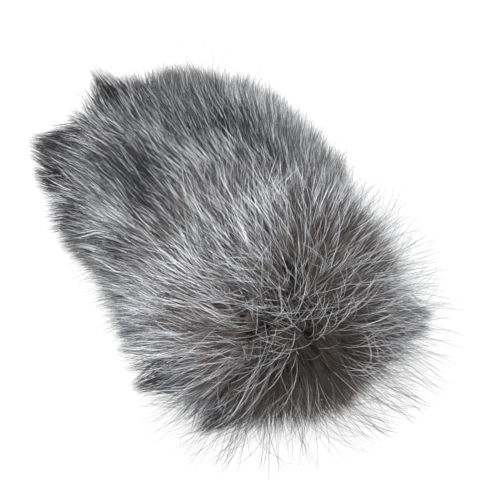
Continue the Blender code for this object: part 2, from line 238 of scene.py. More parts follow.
# Base plate
# A disc of fine-textured black plastic closes the back of the foam and carries the grommet. It is
# moulded with three shallow rings in its rear face, and glued on.
plate_low, plate_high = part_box("base_plate")
PLATE_HOLE_R, PLATE_EDGE = 0.016, 0.0005
board, tree, shader = new_material("textured_plate", Roughness=0.55)
plate_colours = ((0.028, 0.028, 0.03), (0.05, 0.05, 0.053))
grain(tree, shader, size=0.0005, colours=plate_colours, depth=0.00015)
# Each ring's radius and depth
RINGS = ((0.0325, 0.0004), (0.0275, 0.0006), (0.0255, 0.0006))
RING_TOP, RING_FLOOR = 0.0006, 0.0003
plate_outline = [(PLATE_HOLE_R, plate_low.y), (CORE_R, plate_low.y), (CORE_R, plate_high.y)]
for ring_r, depth in RINGS:
    plate_outline += [
        (ring_r + RING_TOP, plate_high.y),
        (ring_r + RING_FLOOR, plate_high.y - depth),
        (ring_r - RING_FLOOR, plate_high.y - depth),
        (ring_r - RING_TOP, plate_high.y),
    ]
plate_outline.append((PLATE_HOLE_R, plate_high.y))
rear_disc = turned_mesh("rear_disc", rounded(plate_outline, PLATE_EDGE, 4))
rear_disc.data.materials.append(board)
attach(rear_disc, "core")
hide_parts("base_plate")

# Grommet
# A moulded ring of soft black rubber that snaps into the plate's hole. Three thin lips in its bore
# give way to the microphone and grip it, and its rear face is slightly dished.
grommet_low, grommet_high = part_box("grip_grommet")
BORE_R, LIP_R, LIP_T, LIPS = 0.0112, 0.0095, 0.0016, 3
FLANGE_R, NECK_R, INNER_R = grommet_high.x, PLATE_HOLE_R - FIT, 0.019
DISH_DEPTH, GROMMET_EDGE = 0.0006, 0.0006
DISH_R = (BORE_R + 0.0035, BORE_R + 0.0040, FLANGE_R - 0.0036, FLANGE_R - 0.0031)
rubber, tree, shader = new_material("soft_rubber", Roughness=0.8, Specular_IOR_Level=0.25)
rubber_colours = ((0.009, 0.009, 0.009), (0.018, 0.018, 0.018))
grain(tree, shader, size=0.0016, colours=rubber_colours, depth=0.00005)
ring_outline = [
    (BORE_R, grommet_high.y),
    (DISH_R[0], grommet_high.y),
    (DISH_R[1], grommet_high.y - DISH_DEPTH),
    (DISH_R[2], grommet_high.y - DISH_DEPTH),
    (DISH_R[3], grommet_high.y),
    (FLANGE_R, grommet_high.y),
    (FLANGE_R, plate_high.y + FIT),
    (NECK_R, plate_high.y + FIT),
    (NECK_R, tube_high.y),
    (INNER_R, tube_high.y),
    (INNER_R, grommet_low.y),
    (BORE_R, grommet_low.y),
]
for lip in range(1, LIPS + 1):
    lip_y = grommet_low.y + lip * (grommet_high.y - grommet_low.y) / (LIPS + 1)
    ring_outline += [(BORE_R, lip_y - LIP_T / 2), (LIP_R, lip_y), (BORE_R, lip_y + LIP_T / 2)]
rubber_ring = turned_mesh("rubber_ring", rounded(ring_outline, GROMMET_EDGE, 4))
rubber_ring.data.materials.append(rubber)
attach(rubber_ring, "core")
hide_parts("grip_grommet")

# Backing of the two fur panels
# A dark knitted cloth holds the roots of the pile. The panels meet in a seam along the left side
# and round the nose, and stop on both sides of the zip on the right.
backing_low, backing_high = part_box("upper_backing")
BACKING_R, BACKING_T = backing_high.x, 0.0013
DOME_Y = tube_low.y
DOME_DEPTH = DOME_Y - backing_low.y
ZIP_FRONT_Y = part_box("zip_bottom_stop")[0].y
ZIP_HALF, ZIP_ROUND = 0.0065, 0.004
SEAM_GAP = 0.0002
DOME_ROWS, SIDE_ROWS = 26, 40
FUZZ = 1 / 1800


def shell_mesh(name, outer, inner, size):
    """Close a sheet given as a grid of outer points and the same grid on its inner side.

    The map holds metres across and along the cloth, from size, the cloth's two lengths.
    """
    rows, columns = outer.shape[:2]
    index = np.arange(rows * columns).reshape(rows, columns)
    count = rows * columns
    square = [index[:-1, :-1], index[:-1, 1:], index[1:, 1:], index[1:, :-1]]
    quads = np.stack(square, -1).reshape(-1, 4)
    border = np.concatenate([index[0, :-1], index[:-1, -1], index[-1, :0:-1], index[:0:-1, 0]])
    after = np.roll(border, -1)
    rim = np.stack([border, border + count, after + count, after], -1)
    faces = np.concatenate([quads, quads[:, ::-1] + count, rim])
    mesh = bpy.data.meshes.new(name)
    mesh.from_pydata(np.concatenate([outer.reshape(-1, 3), inner.reshape(-1, 3)]), [], faces.tolist())
    across, along = np.meshgrid(np.linspace(0, size[0], columns), np.linspace(0, size[1], rows))
    flat = np.tile(np.stack([across, along], -1).reshape(-1, 2), (2, 1))
    corners = np.empty(len(mesh.loops), np.int32)
    mesh.loops.foreach_get("vertex_index", corners)
    mesh.uv_layers.new(name="cloth").uv.foreach_set("vector", flat[corners].astype(np.float32).ravel())
    finish_surface(mesh, crease=50)
    return new_object(name, mesh)


def maths(tree, operation, *values):
    """The outcome of one sum on one or two values."""
    return add(tree, "ShaderNodeMath", enumerate(values), operation=operation).outputs[0]


def mixed_colour(tree, factor, first, second, blend="MIX"):
    """Two colours mixed by a factor, or multiplied."""
    links = [("Factor", factor), (6, first), (7, second)]
    return add(tree, "ShaderNodeMix", links, data_type="RGBA", blend_type=blend).outputs[2]


def woven(name, pitch, colours, depth, roughness):
    """Cloth whose threads cross: height = sine across the width times sine along the length."""
    material, tree, shader = new_material(name, Roughness=roughness)
    flat = add(tree, "ShaderNodeUVMap", uv_map="cloth")
    split = add(tree, "ShaderNodeSeparateXYZ", [(0, flat.outputs[0])])
    ridges = []
    for side, width in zip(split.outputs, pitch):
        ridges.append(maths(tree, "SINE", maths(tree, "MULTIPLY", side, math.tau / width)))
    crossed = maths(tree, "MULTIPLY", *ridges)
    fuzz = add(tree, "ShaderNodeTexNoise", [("Vector", object_place(tree)), ("Scale", 1 / FUZZ)])
    fuzzy = maths(tree, "ADD", crossed, fuzz.outputs[0])
    height = add(tree, "ShaderNodeMapRange", [(0, fuzzy), (1, -0.6), (2, 1.6)]).outputs[0]
    colour = mixed_colour(tree, height, (*colours[0], 1), (*colours[1], 1))
    tree.links.new(colour, shader.inputs["Base Color"])
    raise_surface(tree, shader, height, strength=0.7, depth=depth)
    return material


knit = woven(
    "knitted_backing",
    pitch=(0.0014, 0.0018),
    colours=((0.018, 0.016, 0.015), (0.06, 0.054, 0.05)),
    depth=0.0003,
    roughness=0.95,
)
side_y = np.linspace(DOME_Y, backing_high.y, SIDE_ROWS + 1)[1:]
side_profile = np.concatenate(
    [
        dome(BACKING_R, DOME_DEPTH, DOME_Y, DOME_ROWS),
        np.stack([np.full(SIDE_ROWS, BACKING_R), side_y], axis=1),
    ]
)
inner_profile = side_profile - [BACKING_T, 0]
inner_profile[:DOME_ROWS] = dome(BACKING_R - BACKING_T, DOME_DEPTH - BACKING_T, DOME_Y, DOME_ROWS)
lap = np.clip((side_profile[:, 1] - ZIP_FRONT_Y) / ZIP_ROUND + 1, 0, 1)
first = np.arcsin((SEAM_GAP + (ZIP_HALF - SEAM_GAP) * np.sqrt(lap * (2 - lap))) / BACKING_R)
last = math.pi - np.arcsin(SEAM_GAP / BACKING_R)
sweep = first[:, None] + (last - first)[:, None] * np.linspace(0, 1, 49)
cloth_length = np.linalg.norm(np.diff(side_profile, axis=0), axis=1).sum()
cloth_size = (math.pi * BACKING_R, cloth_length)
for panel, way in (("upper", 1), ("lower", -1)):
    outer = round_axis(side_profile[:, :1], side_profile[:, 1:], way * sweep)
    inner = round_axis(inner_profile[:, :1], inner_profile[:, 1:], way * sweep)
    backing = shell_mesh(f"{panel}_backing_cloth", outer, inner, cloth_size)
    backing.data.materials.append(knit)
    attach(backing, "cover")
    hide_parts(f"{panel}_backing")

# Seam binding
# A black woven tape is sewn over the seam inside the cover, along the left side, round the nose
# and up to the front of the zip.
tape_low, tape_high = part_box("seam_binding")
TAPE_R, TAPE_T = tape_high.x, 0.0007
TAPE_DEPTH = DOME_Y - tape_low.y
BINDING_WIDTH, BINDING_END_Y = 0.010, ZIP_FRONT_Y - 0.005
tape = woven(
    "woven_tape",
    pitch=(0.0007, 0.0007),
    colours=((0.010, 0.010, 0.011), (0.034, 0.034, 0.037)),
    depth=0.00012,
    roughness=0.85,
)
heights = np.linspace(-BINDING_WIDTH / 2, BINDING_WIDTH / 2, 9)


def round_the_nose(radius, depth):
    """A strip forwards along the left side, over the dome and back along the right, z across it.

    On the dome, y = base - D (1 - (r / R)^(2 / p))^(p / 2), where r is the distance from the axis.
    """
    straight = np.sqrt(radius**2 - heights**2)
    left_y = np.linspace(tape_high.y, DOME_Y, 40)[:-1, None] + np.zeros_like(heights)
    right_y = np.linspace(DOME_Y, BINDING_END_Y, 12)[1:, None] + np.zeros_like(heights)
    bend = np.sin(np.linspace(-math.pi / 2, math.pi / 2, 60))[:, None]
    x = straight * bend
    r = np.minimum(np.hypot(x, heights) / radius, 1)
    dome_y = DOME_Y - depth * (1 - r ** (2 / BLUNTNESS)) ** (BLUNTNESS / 2)
    x = np.concatenate([-straight + 0 * left_y, x, straight + 0 * right_y])
    y = np.concatenate([left_y, dome_y, right_y])
    return np.stack([x, y, AXIS_Z + heights + 0 * x], axis=-1)


outer = round_the_nose(TAPE_R, TAPE_DEPTH)
inner = round_the_nose(TAPE_R - TAPE_T, TAPE_DEPTH - TAPE_T)
tape_length = np.linalg.norm(np.diff(outer[:, len(heights) // 2], axis=0), axis=1).sum()
binding = shell_mesh("seam_tape", outer, inner, (BINDING_WIDTH, tape_length))
binding.data.materials.append(tape)
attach(binding, "cover")
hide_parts("seam_binding")

# Rear hem and its elastic
# The cover's rear edge is bound with black cloth, folded round a flat braided elastic that draws it
# in on the base plate's rim. The stitching gathers it into small puckers.
hem_low, hem_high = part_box("rear_hem")
HEM_IN_R, HEM_OUT_R, HEM_T = CORE_R + FIT, hem_high.z - AXIS_Z, 0.0005
ZIP_TAPE_EDGE = 0.0145
HEM_FROM = math.asin(ZIP_TAPE_EDGE / HEM_IN_R) + FIT / HEM_IN_R
PUCKERS, PUCKER_DEPTH, PUCKER_DRAW = 46, 0.00045, 0.0005
GATHER = 1.08
hem_turn = np.linspace(HEM_FROM, math.tau - HEM_FROM, 421)
bend = np.linspace(0, math.pi, 15)
fold_r = (HEM_OUT_R - HEM_IN_R) / 2
fold_middle = (HEM_OUT_R + HEM_IN_R) / 2


def fold(half_gap):
    """The folded edge: rearwards inside, round the bend in a half circle, and forwards outside."""
    leg = np.linspace(hem_low.y, hem_high.y - fold_r, 12)
    inside = np.stack([np.full_like(leg, fold_middle - half_gap), leg], axis=1)
    bend_r, bend_y = half_gap * np.cos(bend), half_gap * np.sin(bend)
    turn = np.stack([fold_middle - bend_r, hem_high.y - fold_r + bend_y], axis=1)
    outside = np.stack([np.full_like(leg, fold_middle + half_gap), leg[::-1]], axis=1)
    return np.concatenate([inside[:-1], turn, outside[1:]])


def hem_side(half_gap):
    """The folded edge carried round the axis, its outer side and bend drawn into puckers."""
    profile = fold(half_gap)
    outward = np.clip((profile[:, :1] - fold_middle) / fold_r, 0, 1)
    rearward = np.clip((profile[:, 1:] - hem_low.y) / (hem_high.y - hem_low.y), 0, 1)
    wave = np.sin(PUCKERS * hem_turn + 1.4 * np.sin(5 * hem_turn) + 0.9 * np.sin(11 * hem_turn + 1))
    radius = profile[:, :1] - PUCKER_DEPTH * outward * (0.4 + 0.6 * rearward) * (0.5 + 0.5 * wave)
    along = profile[:, 1:] - PUCKER_DRAW * rearward**4 * (0.5 - 0.5 * wave)
    return round_axis(radius, along, hem_turn)


hem_cloth = woven(
    "hem_cloth",
    pitch=(0.0005, 0.0005),
    colours=((0.014, 0.014, 0.015), (0.045, 0.045, 0.048)),
    depth=0.0001,
    roughness=0.85,
)
hem_width = 2 * (hem_high.y - hem_low.y) + math.pi * fold_r
hem_length = (math.tau - 2 * HEM_FROM) * fold_middle
hem_size = (hem_length * GATHER, hem_width)
hem = shell_mesh("gathered_hem", hem_side(fold_r), hem_side(fold_r - HEM_T), hem_size)
hem.data.materials.append(hem_cloth)
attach(hem, "cover")
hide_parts("rear_hem")

elastic_low, elastic_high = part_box("hem_elastic")
ELASTIC_R, ELASTIC_T = elastic_high.z - AXIS_Z, 0.0008
ELASTIC_WIDTH, STRETCHED_WIDTH = 0.010, 0.009
braid = woven(
    "braided_elastic",
    pitch=(0.0009, 0.0012),
    colours=((0.03, 0.03, 0.03), (0.10, 0.10, 0.10)),
    depth=0.0002,
    roughness=0.8,
)
elastic_y = np.linspace(elastic_low.y, elastic_high.y, 10)[:, None]
elastic_turn = np.linspace(HEM_FROM, math.tau - HEM_FROM, 181)
outer = round_axis(ELASTIC_R, elastic_y, elastic_turn)
inner = round_axis(ELASTIC_R - ELASTIC_T, elastic_y, elastic_turn)
elastic = shell_mesh("elastic_band", outer, inner, (hem_length, STRETCHED_WIDTH))
elastic.data.materials.append(braid)
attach(elastic, "cover")
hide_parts("hem_elastic")

# Zip
# A moulded zip closes the right-hand seam: two woven tapes sewn under the backing's edges, two rows
# of black teeth, metal stops at the ends, and a plated slider whose pull swings on a pin.
zip_low, zip_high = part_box("zip_tape_upper")
ZIP_TAPE_GAP = 0.0009
TAPE_FROM = math.asin(ZIP_TAPE_GAP / HEM_IN_R)
TAPE_TO = math.asin(ZIP_TAPE_EDGE / HEM_IN_R)
tape_y = np.linspace(zip_low.y, zip_high.y, 60)[:, None]
tape_turn = np.linspace(TAPE_FROM, TAPE_TO, 15)
tape_size = ((TAPE_TO - TAPE_FROM) * TAPE_R, zip_high.y - zip_low.y)
for panel, way in (("upper", 1), ("lower", -1)):
    outer = round_axis(TAPE_R, tape_y, way * tape_turn)
    inner = round_axis(TAPE_R - TAPE_T, tape_y, way * tape_turn)
    strip = shell_mesh(f"{panel}_zip_tape", outer, inner, tape_size)
    strip.data.materials.append(tape)
    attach(strip, "cover")
    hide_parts(f"zip_tape_{panel}")

nylon, tree, shader = new_material("zip_teeth", Roughness=0.38)
teeth_colours = ((0.018, 0.018, 0.019), (0.032, 0.032, 0.034))
grain(tree, shader, size=0.0012, colours=teeth_colours, depth=0.00003)
for node in ("zip_chain_upper", "zip_chain_lower"):
    refinish(node, nylon)
plated, tree, shader = new_material("plated_zinc", Metallic=1.0)
zinc_colours = ((0.14, 0.14, 0.145), (0.24, 0.24, 0.25))
scuffs = grain(tree, shader, size=0.0022, colours=zinc_colours, depth=0.00002)
worn = add(tree, "ShaderNodeMapRange", [(0, scuffs), (1, 0.3), (2, 0.7), (3, 0.24), (4, 0.42)])
tree.links.new(worn.outputs[0], shader.inputs["Roughness"])
STOPS = ("zip_bottom_stop", "zip_top_stop_upper", "zip_top_stop_lower")
for node in (*STOPS, "zip_slider", "pull_pin", "zip_pull"):
    refinish(node, plated)

# Fur cover: how the pile lies
# Two panels of long-pile synthetic fur are sewn together along the sides and across the nose.
# Every hair is rooted in the knitted backing and is combed from the nose towards the tail.
RIM_Y = plate_high.y
SEAM_ROLL = math.radians(17)
SEAM = np.array([-math.sin(SEAM_ROLL), 0.0, math.cos(SEAM_ROLL)])
ROOT_SINK = 0.0006
FLOOR_GAP, FLOOR_SLOPE = 0.0004, 0.6
# The way of the zip's slider and pull stays clear of hairs
SLIDER_TRAVEL, PULL_ROOM, PARTING_SPARE = 0.096, 0.0015, 0.002
pull_low, pull_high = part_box("zip_pull")
PARTING_Y = pull_low.y - SLIDER_TRAVEL - PARTING_SPARE
PARTING_HALF = (pull_high.z - pull_low.z) / 2 + PULL_ROOM

meridian = np.concatenate([dome(BACKING_R, DOME_DEPTH, DOME_Y, 60), [(BACKING_R, RIM_Y)]])
steps_along = np.linalg.norm(np.diff(meridian, axis=0), axis=1)
station = np.concatenate([[0], np.cumsum(steps_along)])
fine = np.linspace(0, station[-1], 600)
fine_r = np.interp(fine, station, meridian[:, 0])
fine_y = np.interp(fine, station, meridian[:, 1])
slope_r = np.gradient(fine_r, fine)
slope_y = np.gradient(fine_y, fine)
ring_area = np.concatenate([[0], np.cumsum((fine_r[1:] + fine_r[:-1]) / 2 * np.diff(fine))])


def backing_at(along, turn):
    """Place, outward normal, tailward tangent and sideways tangent on the backing.

    along is the distance from the pole over the nose and down the side, turn the angle from +X.
    """
    r = np.interp(along, fine, fine_r)
    dr = np.interp(along, fine, slope_r)[:, None]
    dy = np.interp(along, fine, slope_y)[:, None]
    out = np.stack([np.cos(turn), np.zeros_like(turn), np.sin(turn)], axis=1)
    side = np.stack([-np.sin(turn), np.zeros_like(turn), np.cos(turn)], axis=1)
    back = np.array([0.0, 1.0, 0.0])
    place = r[:, None] * out + np.interp(along, fine, fine_y)[:, None] * back
    place[:, 2] += AXIS_Z
    return place, dy * out - dr * back, dr * out + dy * back, side


def unit(vectors):
    """Vectors scaled to length one."""
    return vectors / np.maximum(np.linalg.norm(vectors, axis=-1, keepdims=True), 1e-12)


def waves(points, wavelength, seed, count=12):
    """Smooth noise: a sum of sine waves in random directions, about -1 to 1."""
    dice = np.random.default_rng(seed)
    direction = unit(dice.normal(size=(count, 3)))
    turns = math.tau / (wavelength * dice.uniform(0.7, 1.6, count))
    phase = dice.uniform(0, math.tau, count)
    return np.sin(points @ (direction * turns[:, None]).T + phase).sum(1) / math.sqrt(count)


def soft_step(value, low, high):
    """0 below low, 1 above high, and a smooth rise between them."""
    t = np.clip((value - low) / (high - low), 0, 1)
    return t * t * (3 - 2 * t)


def spread_roots(count, seed):
    """Even places over the backing: equal shares of its area, turned by the golden angle."""
    dice = np.random.default_rng(seed)
    share = (np.arange(count) + dice.uniform(0.2, 0.8, count)) / count
    along = np.interp(share * ring_area[-1], ring_area, fine)
    turn = np.arange(count) * math.pi * (3 - math.sqrt(5)) + dice.normal(0, 0.05, count)
    return along, turn


def above_seam(place):
    """Height over the plane of the seam across the nose, which is rolled about the axis."""
    return (place - [0, 0, AXIS_Z]) @ SEAM


def grow(along, turn, length, lean_root, lean_tip, droop, wander, crinkle, seed, steps, onset=0.8):
    """Walk every hair from its root in equal steps and return its points.

    It starts along the normal leant tailwards, leans further on its way, is turned sideways by smooth
    noise, bows under its weight, and runs along the floor where it would go below it. Hairs part at the
    seam across the nose and along the zip.
    """
    dice = np.random.default_rng(seed)
    place, normal, tailward, side = backing_at(along, turn)
    yaw = 0.30 * waves(place, 0.045, 101) + 0.10 * waves(place, 0.014, 102)
    yaw += wander * dice.normal(size=len(along))
    flow = tailward * np.cos(yaw)[:, None] + side * np.sin(yaw)[:, None]
    # Away from the seam across the nose
    height = above_seam(place)
    parted = np.exp(-((height / 0.004) ** 2)) * np.exp(-((along / 0.026) ** 4))
    away = SEAM - normal * (normal @ SEAM)[:, None]
    flow = unit(flow + 0.8 * (parted * np.sign(height))[:, None] * away)
    # Away from the zip
    level = place[:, 2] - AXIS_Z
    beside = (place[:, 0] > 0) * np.exp(-((level / 0.016) ** 4))
    past_front = soft_step(place[:, 1], PARTING_Y - 0.02, PARTING_Y)
    combed = beside * past_front * (1 - 0.5 * soft_step(place[:, 1], 0.05, RIM_Y))
    flow = unit(flow + 0.9 * (combed * np.sign(level))[:, None] * side)
    lean_root = lean_root + 0.25 * parted + 0.35 * combed
    lean_tip = lean_tip + 0.15 * parted + 0.1 * combed
    bend = dice.normal(0, 0.07, size=(2, len(along)))
    points = [place - ROOT_SINK * normal]
    step = (length / steps)[:, None]
    for number in range(steps):
        share = (number + 0.5) / steps
        lean = (lean_root + (lean_tip - lean_root) * share**onset)[:, None]
        heading = normal * np.cos(lean) + flow * np.sin(lean)
        bend += crinkle * dice.normal(size=bend.shape)
        heading += share * (bend[0][:, None] * side + bend[1][:, None] * normal)
        heading[:, 2] -= droop * share
        heading = unit(heading)
        fall = FLOOR_SLOPE * np.clip((points[-1][:, 2:] - FLOOR_GAP) / step, 0, 1)
        sinking = heading[:, 2] < -fall[:, 0]
        flat = unit(heading[sinking, :2]) * np.sqrt(1 - fall[sinking] ** 2)
        heading[sinking] = np.concatenate([flat, -fall[sinking]], axis=1)
        points.append(points[-1] + step * heading)
    return np.stack(points)


TIP_CLASSES, SHADE_CLASSES = 8, 8
COLUMNS = TIP_CLASSES * SHADE_CLASSES
COLUMN_EDGE, COLUMN_WIDTH = 0.15, 0.7
# A direction that hardly any hair takes
SKEW_WAY = np.array([0.31, 0.2, 0.93])


def strand_mesh(name, path, width, column):
    """Carry a three-sided profile along each hair's path and draw it in to a point at the tip.

    width is the half thickness at each ring. The map holds the hair's column across and the place
    along the hair up, so that every hair of one column shares its colours.
    """
    rings, count = path.shape[0] - 1, path.shape[1]
    forward = unit(np.gradient(path, axis=0))
    across = unit(np.cross(forward, SKEW_WAY))
    over = np.cross(forward, across)
    corner = np.arange(3) * math.tau / 3
    ring = (
        path[:rings, :, None, :]
        + width[:rings, :, None, None] * np.cos(corner)[:, None] * across[:rings, :, None, :]
        + width[:rings, :, None, None] * np.sin(corner)[:, None] * over[:rings, :, None, :]
    )
    vertices = np.concatenate([ring.reshape(-1, 3), path[-1]])
    index = np.arange(rings * count * 3).reshape(rings, count, 3)
    after = np.roll(index, -1, 2)
    quads = np.stack([index[:-1], after[:-1], after[1:], index[1:]], -1).reshape(-1, 4)
    tip = np.broadcast_to(rings * count * 3 + np.arange(count)[:, None], (count, 3))
    ends = np.stack([index[-1], after[-1], tip], -1).reshape(-1, 3)
    roots = index[0][:, ::-1]
    left = (column[:, None] + COLUMN_EDGE + COLUMN_WIDTH * np.arange(3) / 3) / COLUMNS
    right = left + COLUMN_WIDTH / 3 / COLUMNS
    up = np.arange(rings + 1) / rings
    span = (rings - 1, count, 3)
    low = np.broadcast_to(up[: rings - 1, None, None], span)
    high = np.broadcast_to(up[1:rings, None, None], span)
    left_all, right_all = np.broadcast_to(left, span), np.broadcast_to(right, span)
    quad_map = np.stack([left_all, low, right_all, low, right_all, high, left_all, high], -1)
    last = np.full((count, 3), up[rings - 1])
    end_map = np.stack([left, last, right, last, (left + right) / 2, np.ones((count, 3))], -1)
    middle = (left[:, 0] + right[:, 2]) / 2
    zero, sliver = np.zeros(count), np.full(count, 0.01)
    root_map = np.stack([left[:, 0], zero, middle, sliver, right[:, 2], zero], -1)
    corners = np.concatenate([quads.ravel(), ends.ravel(), roots.ravel()])
    places = np.concatenate([quad_map.ravel(), end_map.ravel(), root_map.ravel()])
    sizes = np.concatenate([np.full(len(quads), 4), np.full(len(ends) + count, 3)])
    mesh = bpy.data.meshes.new(name)
    mesh.vertices.add(len(vertices))
    mesh.vertices.foreach_set("co", vertices.astype(np.float32).ravel())
    mesh.loops.add(len(corners))
    mesh.loops.foreach_set("vertex_index", corners.astype(np.int32))
    mesh.polygons.add(len(sizes))
    mesh.polygons.foreach_set("loop_start", (np.cumsum(sizes) - sizes).astype(np.int32))
    hair_map = mesh.uv_layers.new(name="OFBake")
    hair_map.uv.foreach_set("vector", places.astype(np.float32))
    mesh.update(calc_edges=True)
    mesh.shade_smooth()
    return new_object(name, mesh)


# Where the dark tip of a hair starts, for the first and the last class, and how softly
DARK_FROM, DARK_BLUR = (1.15, 0.4), 0.1


def hair_material(name, stops, dark_tip, spread, roughness):
    """Colour along the hair from a ramp, darkened towards the tip by the hair's tip class.

    Across the map, the whole part of u times the tip classes is how far the dark tip runs back, and
    the rest of it is how light the hair is.
    """
    material, tree, shader = new_material(name, Roughness=roughness)
    hair_map = add(tree, "ShaderNodeUVMap", uv_map="OFBake")
    u, v, _ = add(tree, "ShaderNodeSeparateXYZ", [(0, hair_map.outputs[0])]).outputs
    scaled = maths(tree, "MULTIPLY", u, TIP_CLASSES)
    tip = maths(tree, "FLOOR", scaled)
    links = [(0, tip), (2, TIP_CLASSES - 1), (3, DARK_FROM[0]), (4, DARK_FROM[1])]
    past = maths(tree, "SUBTRACT", v, add(tree, "ShaderNodeMapRange", links).outputs[0])
    dark = add(tree, "ShaderNodeMapRange", [(0, past), (1, -DARK_BLUR), (2, DARK_BLUR)])
    dark.interpolation_type = "SMOOTHSTEP"
    tipped = mixed_colour(tree, dark.outputs[0], colour_ramp(tree, v, stops), (*dark_tip, 1))
    shade = maths(tree, "FRACT", scaled)
    level = add(tree, "ShaderNodeMapRange", [(0, shade), (3, 1 - spread), (4, 1 + spread)])
    grey = add(tree, "ShaderNodeCombineColor", [(i, level.outputs[0]) for i in range(3)])
    lit = mixed_colour(tree, 1.0, tipped, grey.outputs[0], "MULTIPLY")
    tree.links.new(lit, shader.inputs["Base Color"])
    return material


def columns_of(tip, shade):
    """The map column of each hair, from how dark-tipped and how light it is, both 0 to 1."""
    tip_class = np.clip((tip * TIP_CLASSES).astype(int), 0, TIP_CLASSES - 1)
    shade_class = np.clip((shade * SHADE_CLASSES).astype(int), 0, SHADE_CLASSES - 1)
    return tip_class * SHADE_CLASSES + shade_class


# The room that the hairs have around the solids: most of a share of their size and a fixed length
cad_low, cad_high = np.array(cad_box)
ROOM_SHARE, ROOM_LENGTH, ROOM_USED = 0.03, 0.010, 0.95
ROOM = ROOM_USED * (ROOM_SHARE * (cad_high - cad_low) + ROOM_LENGTH)
MOST_TRIANGLES = 190000


def lay_hairs(kind, path, width, column, turn, material):
    """Make the hairs of one kind into pieces for each panel, none over MOST_TRIANGLES triangles.

    A hair that would pass the limits of the size is shortened: it keeps its root and its form. None is
    rooted on the zip, and one that would cross the way of its slider and pull is left out.
    """
    root = path[0]
    reach = path - root
    ahead = (cad_high + ROOM - root) / np.maximum(reach.max(0), 1e-6)
    behind = (root - cad_low + ROOM) / np.maximum(-reach.min(0), 1e-6)
    fit = np.minimum(ahead, behind).min(1)
    uneven = np.random.default_rng(7).uniform(-0.14, 0.1, len(fit))
    trim = np.clip(0.78 + 0.18 * waves(root, 0.026, 71) + uneven, 0.5, 1)
    path = root + reach * np.where(fit < 1, fit * trim, 1)[:, None]
    between = [path[:-1] + t * (path[1:] - path[:-1]) for t in (0, 0.2, 0.4, 0.6, 0.8)]
    x, y, z = np.moveaxis(np.concatenate([*between, path[-1:]]), -1, 0)
    level = np.abs(z - AXIS_Z)
    over_zip = (x > 0) & (y > PARTING_Y)
    crossing = over_zip & (level < PARTING_HALF) & (x < pull_high.x + PULL_ROOM)
    rooted = over_zip[0] & (level[0] < ZIP_HALF)
    kept = ~(rooted | crossing.any(0))
    triangles = 6 * (path.shape[0] - 2) + 4
    for panel, mine in (("upper", np.sin(turn) >= 0), ("lower", np.sin(turn) < 0)):
        chosen = np.flatnonzero(mine & kept)
        parts = math.ceil(len(chosen) * triangles / MOST_TRIANGLES)
        for number, share in enumerate(np.array_split(chosen, parts), 1):
            name = f"{panel}_{kind}_{number}"
            piece = strand_mesh(name, path[:, share], width[:, share], column[share])
            piece.data.materials.append(material)
            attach(piece, "cover")
            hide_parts(f"{panel}_fur_pile")


def nose_parting(root, along):
    """1 on the seam across the nose, where the pile is thin and dark, and 0 some millimetres off."""
    return np.exp(-((above_seam(root) / 0.006) ** 2)) * np.exp(-((along / 0.022) ** 4))


def lean_shift(along, turn):
    """Added lean: hairs at the rear rim stand out at the sides and lie flatter on top.

    Low down on both sides of the front half they are pushed outwards by the floor, and on the upper
    right they are brushed up.
    """
    rear = soft_step(along, fine[-1] - 0.055, fine[-1])
    foot = np.exp(-(((np.sin(turn) + 0.4) / 0.3) ** 2)) * (1 - soft_step(along, 0.07, 0.13))
    brushed = np.exp(-((np.cos(turn - math.radians(38)) - 1) ** 2) / 0.05) * (1 - rear)
    return rear * (0.68 * np.maximum(np.sin(turn), 0) - 0.34) - 0.28 * foot - 0.22 * brushed


# Undercoat
# Short, soft, brown-grey fibres stand close together in small locks and fill the pile. They show most
# on the nose, where the long hairs are few.
# Colour from root to tip: the dark root end is partly the fibre's own colour and partly painted shade
# deep in the pile.
under_stops = [
    (0.0, (0.036, 0.029, 0.025)),
    (0.5, (0.062, 0.049, 0.041)),
    (1.0, (0.140, 0.112, 0.094)),
]
undercoat = hair_material("undercoat", under_stops, (0.05, 0.045, 0.042), spread=0.65, roughness=0.6)
UNDER_LOCKS, UNDER_HAIRS = 10500, 16
UNDER_NOSE, UNDER_BODY = 0.0345, 0.0265
UNDER_HALF, UNDER_SPREAD, UNDER_FUZZ = 0.00021, 0.0012, 0.0014
dice = np.random.default_rng(11)
lock_along, lock_turn = spread_roots(UNDER_LOCKS, 12)
body = soft_step(lock_along, 0.004, 0.058)
tousled = 1 - soft_step(lock_along, 0.03, 0.075)
length = UNDER_NOSE - (UNDER_NOSE - UNDER_BODY) * body
length = length * dice.uniform(0.88, 1.06, UNDER_LOCKS)
scatter = (0.14 + 0.16 * tousled) * dice.normal(size=UNDER_LOCKS)
lean = 0.22 + 0.40 * body + 0.5 * lean_shift(lock_along, lock_turn) + scatter
middle = grow(
    lock_along, lock_turn, length, lean, lean, droop=0.05, wander=0.3, crinkle=0.0, seed=13, steps=1
)
lock = np.repeat(np.arange(UNDER_LOCKS), UNDER_HAIRS)
lock = lock[dice.uniform(size=len(lock)) > 0.45 * soft_step(lock_along[lock], 0.065, 0.095)]
along = np.abs(lock_along[lock] + dice.normal(0, UNDER_SPREAD, len(lock)))
along = np.minimum(along, fine[-1])
aside = dice.normal(0, UNDER_SPREAD, len(lock))
turn = lock_turn[lock] + aside / np.maximum(np.interp(along, fine, fine_r), 0.002)
place, normal, _, _ = backing_at(along, turn)
root = place - ROOT_SINK * normal
reach = (middle[1] - middle[0])[lock] * dice.uniform(0.84, 1.08, (len(lock), 1))
path = np.stack([root, root + reach + dice.normal(0, UNDER_FUZZ, (len(lock), 3))])
path[..., 2] = np.maximum(path[..., 2], FLOOR_GAP)
half = np.outer((UNDER_HALF, 0), np.ones(len(lock)))
# Darker on the body, where the undercoat shows only in the gaps between the long hairs: painted shade
# in those gaps.
shade = 0.46 - 0.17 * body[lock] + 0.2 * waves(root, 0.03, 14)
shade = shade + dice.normal(0, 0.2, UNDER_LOCKS)[lock] - 0.5 * nose_parting(root, along)
shade = np.clip(shade + dice.normal(0, 0.2, len(lock)), 0, 0.999)
column = columns_of(np.zeros(len(lock)), shade)
